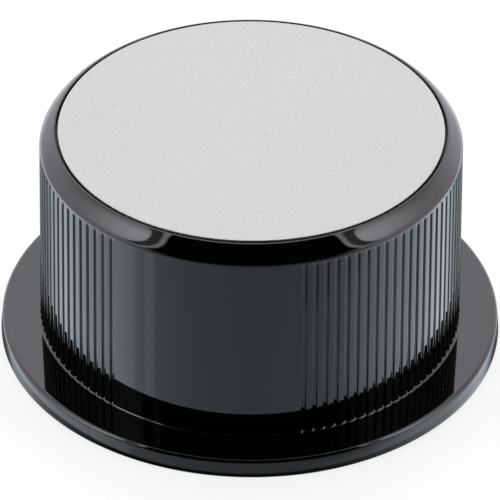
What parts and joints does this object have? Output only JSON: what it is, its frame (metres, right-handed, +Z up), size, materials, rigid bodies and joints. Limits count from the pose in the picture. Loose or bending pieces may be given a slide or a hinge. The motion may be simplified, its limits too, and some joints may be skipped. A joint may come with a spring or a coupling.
{
  "type": "selector knob",
  "caption": "Round push-on selector knob: a gloss black moulding with a finely grooved grip and a broad foot flange, and a satin metal disc set flush in its top.",
  "frame": {"origin": "on the turning axis, in the plane of the flange's underside", "axes": "+Z up the turning axis towards the metal disc; the two plain stretches of the grip face -Y and +Y, the two grooved stretches +X and -X; the flat of the shaft hole is on the +Y side"},
  "size_m": [0.06, 0.06, 0.0283],
  "materials": {
    "black_moulding": "high gloss, moulded",
    "satin_disc": "fine satin blast, natural anodised",
    "adhesive_film": "clear tacky film",
    "spring_wire": "drawn bright spring wire"
  },
  "bodies": {
    "root": {"knob_body": "black_moulding", "face_disc": "satin_disc", "disc_film": "adhesive_film", "boss_ring": "spring_wire"}
  },
  "joints": []
}
